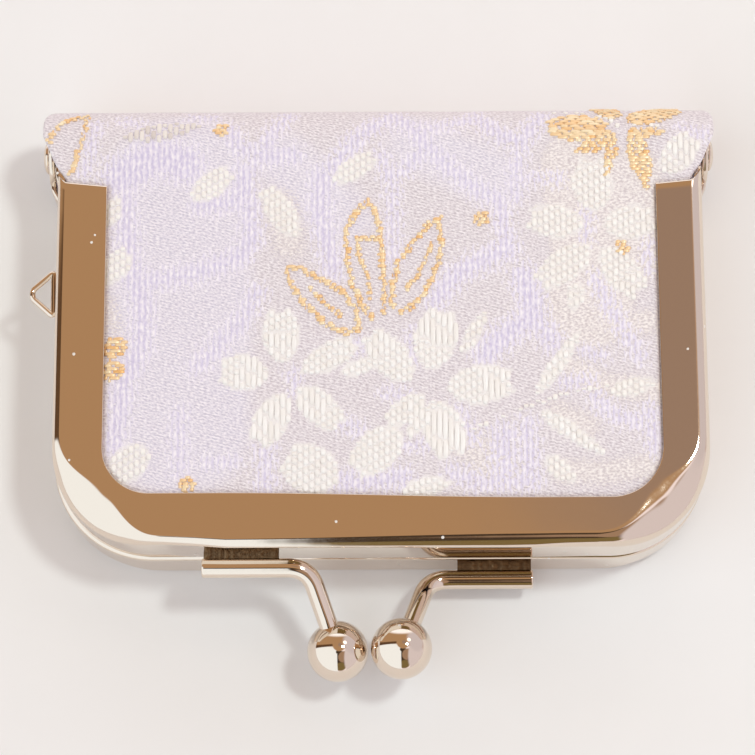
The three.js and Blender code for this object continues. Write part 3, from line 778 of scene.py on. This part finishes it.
# Lilac bands of the ground: half width, depth of colour, points on the way
bands = [
    (0.7, 1.0, [(-27.5, 25.9), (-28.6, 20.8)]), (2.2, 0.9, [(-25.0, 20.5), (-21.5, 22.6), (-18.6, 21.6)]),
    (1.3, 0.9, [(-24.6, 18.0), (-24.0, 12.0), (-22.6, 7.0), (-22.8, 3.0), (-24.4, -0.5), (-25.2, -6.5)]),
    (1.2, 0.9, [(-17.0, 17.4), (-12.4, 18.0), (-12.0, 14.0), (-13.4, 12.0), (-18.0, 10.4), (-22.6, 9.6)]),
    (1.3, 1.0, [(-12.7, 20.8), (-13.0, 18.4)]),
    (1.0, 1.0, [(-14.4, 25.2), (-13.0, 23.2), (-10.0, 22.3), (-8.0, 22.6)]),
    (0.9, 1.0, [(-8.6, 27.4), (-10.4, 24.2), (-11.6, 22.0)]), (0.7, 0.8, [(-18.0, 27.2), (-16.0, 27.0)]),
    (0.7, 0.8, [(-25.0, 26.6), (-23.4, 26.2)]),
    (1.0, 1.0, [(-4.2, 21.2), (-3.2, 22.6), (-1.4, 24.6), (0.6, 26.2), (2.0, 27.2), (4.0, 25.0), (5.6, 23.0),
                (7.6, 21.0), (10.0, 19.0), (12.2, 17.8), (12.6, 15.0), (13.0, 12.4)]),
    (0.8, 0.9, [(2.0, 26.0), (5.0, 25.2), (9.4, 26.4), (10.2, 27.6)]),
    (1.0, 1.0, [(10.4, 26.6), (12.4, 24.5), (14.6, 24.0), (16.6, 27.0)]),
    (0.8, 0.9, [(14.6, 24.0), (14.0, 21.0), (13.8, 18.0)]), (0.6, 0.9, [(13.8, 20.1), (18.2, 20.0)]),
    (0.8, 1.0, [(0.7, 22.4), (1.5, 20.2), (3.4, 21.4), (4.6, 23.0)]),
    (0.8, 0.9, [(1.7, 20.0), (1.8, 16.0), (1.8, 12.0)]),
    (1.3, 0.9, [(-5.2, 20.4), (-5.4, 17.0), (-4.8, 14.0), (-4.0, 10.8)]),
    (1.3, 0.95, [(13.0, 13.0), (10.0, 11.4), (7.6, 10.0), (6.0, 7.8)]),
    (1.5, 0.95, [(14.5, 10.0), (15.0, 8.0), (15.4, 6.0), (13.0, 4.4), (10.8, 2.4)]),
    (1.2, 0.8, [(16.0, 5.2), (17.2, 3.4)]),
    (0.9, 0.9, [(21.7, 9.6), (22.8, 7.0), (24.5, 4.0), (25.6, 2.0)]), (0.6, 0.8, [(20.4, 2.4), (22.0, 2.0)]),
    (0.7, 1.0, [(18.4, -0.7), (20.6, -0.5)]),
    (0.9, 0.85, [(21.4, -2.2), (23.0, -4.0), (25.4, -4.6), (26.6, -3.6), (26.9, -7.0)]),
    (1.1, 0.9, [(14.6, -5.0), (14.8, -9.6)]), (1.6, 0.55, [(12.4, -6.0), (12.4, -9.6)]),
    (1.0, 0.8, [(7.4, -9.6), (10.0, -10.6), (15.0, -10.4)]), (0.8, 0.6, [(8.0, -3.4), (9.4, -6.2)]),
    (0.8, 0.8, [(-3.2, -4.6), (-1.8, -5.2)]), (0.6, 0.8, [(0.8, -1.6), (3.2, -1.9)]),
    (0.6, 0.8, [(2.7, -6.8), (4.8, -7.0)]), (1.3, 0.75, [(-3.2, -10.4), (2.6, -10.1)]),
    (0.7, 1.0, [(-8.0, 0.2), (-7.6, -1.5)]), (0.7, 0.8, [(3.6, 4.4), (3.6, 1.8)]),
    (0.7, 0.8, [(-2.3, 3.4), (-1.2, 2.8)]),
    (0.9, 0.8, [(-19.0, -3.6), (-18.8, -9.2)]), (0.7, 0.8, [(-16.2, -8.4), (-13.6, -8.4)]),
    (1.1, 0.7, [(-10.6, -7.2), (-10.6, -11.0)]), (1.1, 0.8, [(-17.2, 1.2), (-13.2, 5.4), (-11.6, 8.4)]),
    (0.6, 0.9, [(26.8, 13.2), (26.6, 10.6)]), (0.6, 0.8, [(20.8, 16.6), (20.6, 13.8)]),
    (0.7, 0.8, [(30.4, 25.2), (32.6, 24.6)]),
    (1.0, 0.9, [(-30.0, 31.0), (-22.0, 34.5), (-14.0, 31.0), (-6.0, 34.5), (2.0, 31.0), (10.0, 34.5),
                (18.0, 31.0), (26.0, 34.5), (32.0, 31.6)]),
]
# Cooler tint of the grey ground on the left, charted the same way
cools = [
    (7.0, 1.0, [(-19.0, 20.0), (-19.0, -5.0)]), (3.0, 0.8, [(-9.0, 22.0), (-3.0, 16.0)]),
    (3.0, 0.7, [(4.0, 24.0), (12.0, 20.0)]),
]
# Pale satin of the ground, charted the same way
satins = [
    (4.6, 0.9, [(20.6, 21.0), (21.6, 12.0), (21.0, 7.0)]), (2.6, 0.9, [(26.0, 21.0), (26.6, 12.0)]),
    (1.6, 0.8, [(26.4, 5.4), (22.0, 4.6), (20.6, 5.8)]),
    (1.5, 0.8, [(19.0, 1.0), (22.0, -0.8), (27.0, -1.6)]),
    (1.4, 0.7, [(17.6, -3.4), (20.6, -5.0)]), (1.6, 0.7, [(18.0, -9.4), (22.0, -9.6), (26.0, -9.0)]),
    (2.0, 0.5, [(-9.2, 17.4), (-8.4, 13.4)]), (1.2, 0.5, [(-26.0, 7.4), (-25.4, 5.0)]),
    (2.2, 0.5, [(12.0, -9.2), (9.0, -7.0)]),
]


def turnedChart(points):  # the same figure turned half round about the middle of the sheet, for the back
    points = np.asarray(points, float)
    return np.stack([-points[..., 0], clothTurn - points[..., 1]], -1)


def awayFrom(path, x, s):  # distance of places from a charted line
    best = np.full(np.shape(x), 1e9)
    for (ax, ay), (bx, by) in zip(path[:-1], path[1:]):
        dx, dy = bx - ax, by - ay
        t = np.clip(((x - ax) * dx + (s - ay) * dy) / (dx * dx + dy * dy), 0, 1)
        best = np.minimum(best, np.hypot(x - ax - t * dx, s - ay - t * dy))
    return best


strokeFade = 1.3  # millimetres over which a stroke of the chart fades
strokeReach = 2.0  # and past which it isn't looked for


def strokeDepth(strokes, x, s):  # above zero inside a stroke of the chart, up to the stroke's own depth
    depth = np.full(np.shape(x), -1.0)
    for half, strength, path in strokes:
        for way in (np.array(path), turnedChart(path)):
            near = (way[:, 0].min() - half - strokeReach < x) & (x < way[:, 0].max() + half + strokeReach)
            edge = np.clip((half - awayFrom(way, x[near], s[near])) / strokeFade, -1, 1)
            depth[near] = np.maximum(depth[near], np.where(edge > 0, edge * strength, edge))
    return depth


petalShape = dict(steps=14, blunt=0.86, shoulder=0.8, fullness=0.75)


def petalOutline(row):  # closed outline: narrow base, full shoulders, tip notched or pointed
    p = petalShape
    baseX, baseS, tipX, tipS, width, notch = row[:6]
    base, tip = np.array([baseX, baseS]), np.array([tipX, tipS])
    along = tip - base
    long = np.linalg.norm(along)
    across = np.array([-along[1], along[0]]) / long
    t = np.linspace(0, 1, p["steps"])
    blunt = p["blunt"] if notch else 1.0
    wide = 0.5 * width * np.sin(np.pi * blunt * t ** p["shoulder"]) ** p["fullness"]
    left = base + t[:, None] * along + wide[:, None] * across
    right = base + t[:, None] * along - wide[:, None] * across
    dent = [tip - notch * along / long] if notch else []
    return np.concatenate([left, np.array(dent).reshape(-1, 2), right[::-1]])


def insideOutline(outline, x, s):
    inside = np.zeros(np.shape(x), bool)
    for (ax, ay), (bx, by) in zip(outline, np.roll(outline, -1, 0)):
        if ay != by:
            inside ^= ((ay > s) != (by > s)) & (x < (bx - ax) * (s - ay) / (by - ay) + ax)
    return inside


figureCover = dict(white=0.9, ivory=0.7)  # how far the petals cover the ground under them


def figureShare(place):
    share = np.zeros(len(place))
    for kind, *row in petals:
        if kind in figureCover:
            outline = petalOutline(row)
            for way in (outline, turnedChart(outline)):
                share[insideOutline(way, place[:, 0], place[:, 1])] = figureCover[kind]
    return share


# Silk brocade, woven: a dry, faintly shining ground. Grey twill ripples, upright lilac streaks in the bands,
# and a smooth pale satin round the right blossom. All pattern sizes are millimetres on the cloth.
groundLook = dict(
    lilac=("#C9BEE0", "#FFF9FF"), grey=("#CABEC6", "#FFF9FC"), cool=("#CFC7D8", "#FFF9FF"),
    pale=("#D9CED0", "#FFF8F6"), figure="#F9F5F3",
    warp=0.56, streak=(0.28, 0.60), ripple=(0.32, 0.15), twill=0.32, slant=0.25, grain=(0.34, 0.20),
    contrast=(0.32, 0.68), columnShare=0.42, lineShare=0.3, bandFray=1.3, bandEdge=(0.35, 1.25),
    satinFray=0.5, satinEdge=(0.2, 0.8), coolEdge=(-0.6, 0.8), relief=0.04, bump=0.7, roughness=0.55,
)


def makeGround():
    g = groundLook
    material, tree, shader = newMaterial("silk brocade, woven")
    place = addNode(tree, "Attribute", attribute_name="threadMm").outputs["Vector"]
    charted = [addNode(tree, "Attribute", attribute_name=name).outputs["Fac"]
               for name in ("lilac", "satin", "cool", "figure")]
    band, satin, cool, figure = charted
    axis = addNode(tree, "SeparateXYZ", {0: place})
    x, s = axis.outputs[0], axis.outputs[1]
    turn = addNode(tree, "Math", {0: x, 1: 2 * math.pi / g["warp"]}, operation="MULTIPLY").outputs[0]
    wave = addNode(tree, "Math", {0: turn}, operation="COSINE").outputs[0]
    column = addNode(tree, "Math", {0: wave, 1: -0.5, 2: 0.5}, operation="MULTIPLY_ADD").outputs[0]
    fall = addNode(tree, "Math", {0: x, 1: g["slant"], 2: s}, operation="MULTIPLY_ADD").outputs[0]
    slanted = addNode(tree, "CombineXYZ", {0: x, 1: fall}).outputs[0]
    textures = {}
    for name, where in (("streak", place), ("ripple", slanted), ("grain", place)):  # stretched noise
        wide, tall = g[name]
        scaled = addNode(tree, "VectorMath", {0: where, 1: (1 / wide, 1 / tall, 1)}, operation="MULTIPLY")
        noise = addNode(tree, "TexNoise", {"Vector": scaled.outputs[0], "Scale": 1.0, "Detail": 1.0},
                        noise_dimensions="2D")
        textures[name] = addNode(tree, "MapRange", {
            "Value": noise.outputs["Fac"], "From Min": g["contrast"][0],
            "From Max": g["contrast"][1]}).outputs["Result"]
    streak = addNode(tree, "Mix", {0: g["columnShare"], 2: textures["streak"], 3: column},
                     data_type="FLOAT").outputs[0]
    lineTurn = addNode(tree, "Math", {0: fall, 1: 2 * math.pi / g["twill"]}, operation="MULTIPLY").outputs[0]
    lineWave = addNode(tree, "Math", {0: lineTurn}, operation="SINE").outputs[0]
    line = addNode(tree, "Math", {0: lineWave, 1: 0.5, 2: 0.5}, operation="MULTIPLY_ADD").outputs[0]
    twill = addNode(tree, "Mix", {0: g["lineShare"], 2: textures["ripple"], 3: line},
                    data_type="FLOAT").outputs[0]
    # a band frays into its surroundings thread by thread
    fray = addNode(tree, "Math", {0: textures["streak"], 1: g["bandFray"], 2: band},
                   operation="MULTIPLY_ADD").outputs[0]
    low, high = g["bandEdge"]
    inBand = addNode(tree, "MapRange", {"Value": fray, "From Min": low, "From Max": high},
                     interpolation_type="SMOOTHSTEP").outputs["Result"]
    soft = addNode(tree, "Math", {0: textures["ripple"], 1: g["satinFray"], 2: satin},
                   operation="MULTIPLY_ADD").outputs[0]
    low, high = g["satinEdge"]
    inSatin = addNode(tree, "MapRange", {"Value": soft, "From Min": low, "From Max": high},
                      interpolation_type="SMOOTHSTEP").outputs["Result"]
    low, high = g["coolEdge"]
    inCool = addNode(tree, "MapRange", {"Value": cool, "From Min": low, "From Max": high}).outputs["Result"]
    tones = []
    for name, share in (("grey", twill), ("cool", twill), ("pale", textures["grain"]), ("lilac", streak)):
        dark, light = g[name]
        tones.append(addNode(tree, "Mix", {0: share, 6: linear(dark), 7: linear(light)},
                             data_type="RGBA").outputs[2])
    colour = tones[0]
    for share, tone in zip((inCool, inSatin, inBand, figure), tones[1:] + [linear(g["figure"])]):
        colour = addNode(tree, "Mix", {0: share, 6: colour, 7: tone}, data_type="RGBA").outputs[2]
    height = addNode(tree, "Mix", {0: inBand, 2: twill, 3: streak}, data_type="FLOAT").outputs[0]
    bump = addNode(tree, "Bump", {"Height": height, "Distance": g["relief"] * mm, "Strength": g["bump"]})
    setInputs(tree, shader, {"Base Color": colour, "Normal": bump.outputs[0], "Roughness": g["roughness"]})
    return material


# Cloth reverse, plain backing: the wrong side, duller and even, with threads 0.14 mm apart.
reverseLook = dict(colours=("#C9BEDA", "#DDD5E6"), thread=0.1428, relief=0.04, roughness=0.8)


def makeReverse():
    look = reverseLook
    material, tree, shader = newMaterial("brocade reverse, pasted backing")
    place = addNode(tree, "Attribute", attribute_name="threadMm").outputs["Vector"]
    scale = math.pi / 10 / look["thread"]  # at scale 1 the wave node's bands are pi/10 apart
    weave = addNode(tree, "TexWave", {"Vector": place, "Scale": scale, "Distortion": 1.2, "Detail": 2.0},
                    bands_direction="X").outputs["Fac"]
    dark, light = look["colours"]
    tint = addNode(tree, "Mix", {0: weave, 6: linear(dark), 7: linear(light)}, data_type="RGBA")
    bump = addNode(tree, "Bump", {"Height": weave, "Distance": look["relief"] * mm, "Strength": 0.5})
    setInputs(tree, shader, {"Base Color": tint.outputs[2], "Normal": bump.outputs[0],
                             "Roughness": look["roughness"]})
    return material


# Float threads of untwisted silk: glossy along their crowns. Gold ones are gilt foil wound on a core.
threadLooks = {
    "white": dict(name="white silk float, untwisted", colours=("#F8F3EE", "#FFFDFB"),
                  roughness=0.35, metallic=0.0, tone=(2.0, 1.2)),
    "ivory": dict(name="ivory silk float, untwisted", colours=("#F7F1EC", "#FFFCF8"),
                  roughness=0.4, metallic=0.0, tone=(2.0, 1.2)),
    "taupe": dict(name="taupe silk float, untwisted", colours=("#DDD2CC", "#F5EEE8"),
                  roughness=0.5, metallic=0.0, tone=(2.0, 1.2)),
    # gilt tone varies at random per thread; its near-white pale end is painted highlight
    "gold": dict(name="gilt thread, foil wound, pale tone partly painted highlight", colours=("#F5BC74", "#FFEFCC"),
                 roughness=0.34, metallic=0.2, tone=(4.0, 2.6)),
}


def makeThread(look):
    material, tree, shader = newMaterial(look["name"])
    tone = addNode(tree, "Attribute", attribute_name="tone").outputs["Fac"]
    dark, light = look["colours"]
    tint = addNode(tree, "Mix", {0: tone, 6: linear(dark), 7: linear(light)}, data_type="RGBA")
    setInputs(tree, shader, {"Base Color": tint.outputs[2], "Roughness": look["roughness"],
                             "Metallic": look["metallic"]})
    return material


def blendCloth(piece):  # the back panel stays with the back half, the front panel goes with the front half
    start, end = Vector(hinge) * mm, Vector(hinge) * mm
    start.z -= clothShape["hingeSpread"] * mm
    end.z += clothShape["hingeSpread"] * mm
    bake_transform(piece, "back_half", "front_half", start=start, end=end)


def chartCloth(piece, place):  # stores each point's place on the chart and what the chart has there
    attributes = piece.data.attributes
    attributes.new("threadMm", "FLOAT_VECTOR", "POINT").data.foreach_set("vector", place.ravel())
    for name, strokes in (("lilac", bands), ("satin", satins), ("cool", cools)):
        depth = strokeDepth(strokes, place[:, 0], place[:, 1])
        attributes.new(name, "FLOAT", "POINT").data.foreach_set("value", depth)
    attributes.new("figure", "FLOAT", "POINT").data.foreach_set("value", figureShare(place))


# Ends of the roll: the sheet's edge folded in behind the ears
endShape = dict(inset=30.4, thick=0.45, sunk=0.45, start=0.4, stop=0.4, rows=26, cols=15)


def makeEnd(name, side):
    e = endShape
    s = np.linspace(spineLow[1] + e["start"], clothTurn / 2 - e["stop"], e["rows"])
    share = np.linspace(0, 1, e["cols"])[None, :, None]
    layers, places = [], []
    for step in (-0.5, 0.5):
        x = hinge[0] + side * (e["inset"] + step * e["thick"]) + 0 * s
        front, back = onCloth(x, s, -e["sunk"]), onCloth(x, clothTurn - s, -e["sunk"])
        layer = front[:, None] + share * (back - front)[:, None]
        layers.append(layer)
        folded = side * (clothShape["fullWidth"] + front[:, None, 2] - layer[..., 2])
        places.append(np.stack([folded, 0 * folded + s[:, None], 0 * folded], -1))
    rows, cols = e["rows"], e["cols"]
    faces = gridFaces(rows, cols) + gridFaces(rows, cols, start=rows * cols)
    rim = list(range(cols)) + [i * cols + cols - 1 for i in range(1, rows)]
    rim += [(rows - 1) * cols + j for j in range(cols - 2, -1, -1)]
    rim += [i * cols for i in range(rows - 2, 0, -1)]
    for i, a in enumerate(rim):
        b = rim[(i + 1) % len(rim)]
        faces.append([a, b, b + rows * cols, a + rows * cols])
    piece = makePiece(name, np.concatenate(layers), faces, [ground], clothShape["crease"])
    chartCloth(piece, np.concatenate(places).reshape(-1, 3))
    blendCloth(piece)
    return piece


def makeWrap():
    c = clothShape
    s = np.linspace(clothStart, clothEnd, c["along"])
    wide = clothHalfWidth(s) - c["thick"] / 2
    hem = np.linspace(0, np.pi, c["hem"] + 2)[1:-1]
    outShare = np.linspace(-1, 1, c["across"] + 1)
    inShare = np.linspace(1, -1, c["inside"] + 1)
    x = np.concatenate([
        wide[:, None] * outShare,
        wide[:, None] + c["thick"] / 2 * np.sin(hem),
        wide[:, None] * inShare,
        -wide[:, None] - c["thick"] / 2 * np.sin(hem),
    ], 1)
    depth = np.concatenate([0 * outShare, c["thick"] / 2 * (1 - np.cos(hem)), 0 * inShare + c["thick"],
                            c["thick"] / 2 * (1 + np.cos(hem))])
    rows, cols = x.shape
    sAll = np.repeat(s[:, None], cols, 1)
    points = onCloth(x + hinge[0], sAll, 0 * x - depth)
    faces = gridFaces(rows, cols, True)
    slots = np.zeros((rows - 1, cols), int)
    slots[:, c["across"] + c["hem"] + 1:2 + c["across"] + c["hem"] + c["inside"]] = 1
    ends = [list(range(cols)), list(range((rows - 1) * cols, rows * cols))]
    wrap = makePiece("brocade_wrap", points, faces + ends, [ground, reverse], c["crease"],
                     np.concatenate([slots.ravel(), [0, 0]]))
    place = np.stack([x + hinge[0], sAll, 0 * x], -1).reshape(-1, 3)
    chartCloth(wrap, place)
    return wrap


# Floats: threads laid over the figures, upright but for the gilt ones, which lie across
floatShape = dict(
    pitch=0.56, goldPitch=0.30, fine=0.04, width=0.50, goldWidth=0.36, rise=0.15, clear=0.02,
    archShare=0.45, sides=6, beadPeriod=0.84, beadGap=0.10, beadSlope=-0.32, beadSlip=0.2, beadRagged=0.3,
    lineFloat=0.9, longGap=0.10, longSlope=0.55, slip=0.25, shortest=0.22, ragged=0.16, sway=0.04,
)
notCharted = -10 ** 6  # label of places outside a figure
longRuns = 10 ** 4  # labels of long floats start here, clear of the beads' own
luck = np.random.default_rng(11)


def floatRuns(box, inside, beaded, long, upright):  # charted area to float threads, as start and end places
    fl = floatShape
    pitch = fl["pitch"] if upright else fl["goldPitch"]
    i, j = (0, 1) if upright else (1, 0)
    fine = np.arange(box[0][j], box[1][j] + fl["fine"], fl["fine"])
    runs = []
    for k in range(math.floor(box[0][i] / pitch), math.ceil(box[1][i] / pitch) + 1):
        c = k * pitch
        x, s = (0 * fine + c, fine) if upright else (fine, 0 * fine + c)
        slip = luck.uniform(-fl["slip"], fl["slip"])
        bead = beaded(x, s)
        beadRun = np.floor((fine + k * fl["beadSlope"] + fl["beadSlip"] * slip) / fl["beadPeriod"])
        longRun = longRuns + np.floor((fine + k * fl["longSlope"] + slip) / long)
        piece = np.where(bead, beadRun, longRun)
        label = np.where(inside(x, s), piece, notCharted)
        cuts = np.flatnonzero(np.diff(label)) + 1
        for part in np.split(np.arange(len(fine)), cuts):
            gap = fl["beadGap"] if bead[part[0]] else fl["longGap"]
            a, b = fine[part[0]] + gap / 2, fine[part[-1]] - gap / 2
            if label[part[0]] == notCharted or b - a < fl["shortest"]:
                continue
            rough = fl["beadRagged"] if bead[part[0]] else 1.0
            a += rough * luck.uniform(-fl["ragged"], fl["ragged"])
            b += rough * luck.uniform(-fl["ragged"], fl["ragged"])
            c0, c1 = c + luck.uniform(-fl["sway"], fl["sway"], 2)
            runs.append((c0, a, c1, b) if upright else (a, c0, b, c1))
    return runs


def chartRuns(kind):
    runs = []
    for thread, *row in petals:
        if thread != kind:
            continue
        outline = petalOutline(row)
        base, tip = np.array(row[:2]), np.array(row[2:4])
        long, split = row[6:]
        figure = (outline, base, tip)
        for way, foot, head in (figure, [turnedChart(points) for points in figure]):
            if split < 0:
                foot, head = head, foot
            axis = (head - foot) / ((head - foot) @ (head - foot))
            runs += floatRuns((way.min(0), way.max(0)), lambda x, s: insideOutline(way, x, s),
                              lambda x, s: (x - foot[0]) * axis[0] + (s - foot[1]) * axis[1] < abs(split),
                              long, kind != "gold")
    for width, thread, path in lines:
        if thread != kind:
            continue
        for way in (np.array(path), turnedChart(path)):
            box = way.min(0) - width, way.max(0) + width
            runs += floatRuns(box, lambda x, s: awayFrom(way, x, s) < width / 2,
                              lambda x, s: np.zeros(len(x), bool), floatShape["lineFloat"], kind != "gold")
    return np.array(runs)


def makeFloats(kind, look):
    fl, sides = floatShape, floatShape["sides"]
    material = makeThread(look)
    runs = chartRuns(kind)
    t = np.array([0.0, 0.1, 0.32, 0.68, 0.9, 1.0])
    swell = np.array([0.45, 0.85, 1.0, 1.0, 0.85, 0.45])
    arch = np.array([-0.25, 0.55, 1.0, 1.0, 0.55, -0.25])
    a = np.linspace(0, 2 * np.pi, sides, endpoint=False) + np.pi / sides
    start, end = runs[:, None, None, :2], runs[:, None, None, 2:]
    way = (end - start) / np.linalg.norm(end - start, axis=-1, keepdims=True)
    across = np.stack([-way[..., 1], way[..., 0]], -1)
    middle = start + t[None, :, None, None] * (end - start)
    wide = fl["goldWidth"] if kind == "gold" else fl["width"]
    side = 0.5 * wide * np.cos(a)[None, None, :] * swell[None, :, None]
    place = middle + side[..., None] * across
    crown = np.sin(a)[None, None, :] * swell[None, :, None]
    lift = fl["rise"] * (fl["archShare"] * arch[None, :, None] + (1 - fl["archShare"]) * crown)
    x, s = place[..., 0], place[..., 1]
    points = onCloth(x, s, lift + 0 * x + fl["clear"])
    count = len(runs)
    tone = np.repeat(luck.beta(*look["tone"], count), x[0].size)
    size = len(t) * sides
    one = gridFaces(len(t), sides, True) + [list(range(sides)), list(range(size - sides, size))]
    faces = [[v + size * i for v in f] for i in range(count) for f in one]
    piece = makePiece("brocade_floats_" + kind, points, faces, [material], clothShape["crease"])
    piece.data.attributes.new("tone", "FLOAT", "POINT").data.foreach_set("value", tone)
    blendCloth(piece)
    print(kind, "floats:", count, "threads,", len(faces), "faces")
    return piece


ground, reverse = makeGround(), makeReverse()
wrap = makeWrap()
floats = [makeFloats(kind, look) for kind, look in threadLooks.items()]
ends = [makeEnd("brocade_end_left", -1), makeEnd("brocade_end_right", 1)]
blendCloth(wrap)
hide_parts("front_cloth", "back_cloth", "spine_cloth")
